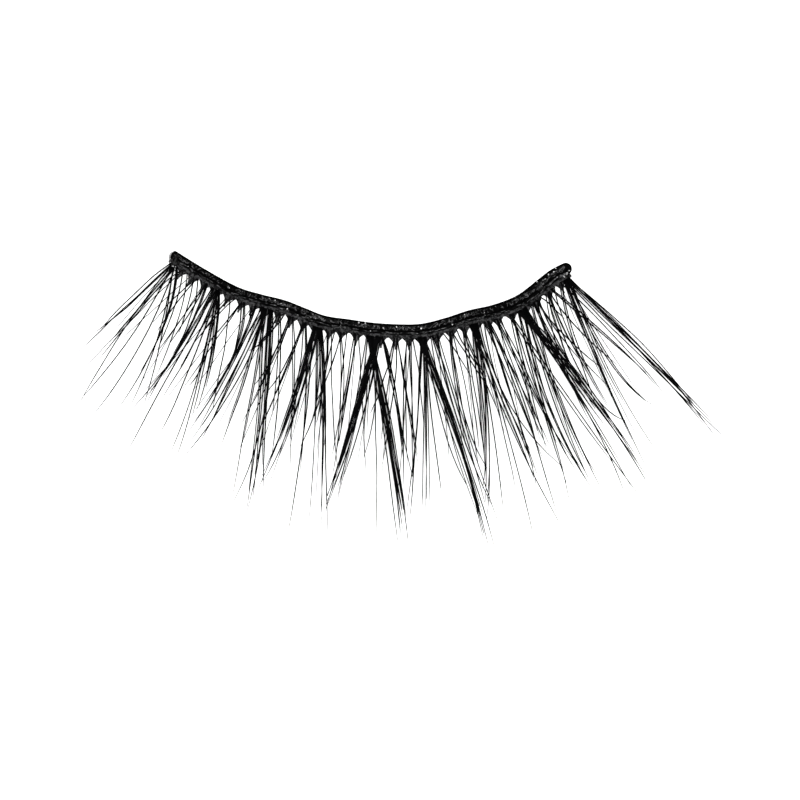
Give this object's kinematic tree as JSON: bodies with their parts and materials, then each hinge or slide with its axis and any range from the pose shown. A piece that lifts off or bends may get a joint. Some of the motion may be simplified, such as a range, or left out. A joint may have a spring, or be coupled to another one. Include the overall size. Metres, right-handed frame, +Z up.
{
  "type": "false eyelash strip",
  "caption": "Strip of false eyelashes on a curved flexible band, with a crossing base fringe and long pointed spikes that curl up.",
  "frame": {"origin": "centre of the strip's bounding box in plan, on the surface that it lies on", "axes": "+X along the strip towards the outer corner of the eye, +Y from the lash tips towards the band, +Z up through the curl of the tips"},
  "size_m": [0.0496, 0.0227, 0.0072],
  "materials": {
    "band_cloth": "black woven band set with dried black glue",
    "lash_fibre": "satin black synthetic fibre"
  },
  "bodies": {
    "root": {"band": "band_cloth", "lash_fringe": "lash_fibre", "spike_1": "lash_fibre", "spike_2": "lash_fibre", "spike_3": "lash_fibre", "spike_4": "lash_fibre", "spike_5": "lash_fibre", "spike_6": "lash_fibre", "spike_7": "lash_fibre", "spike_8": "lash_fibre", "spike_9": "lash_fibre"}
  },
  "joints": []
}
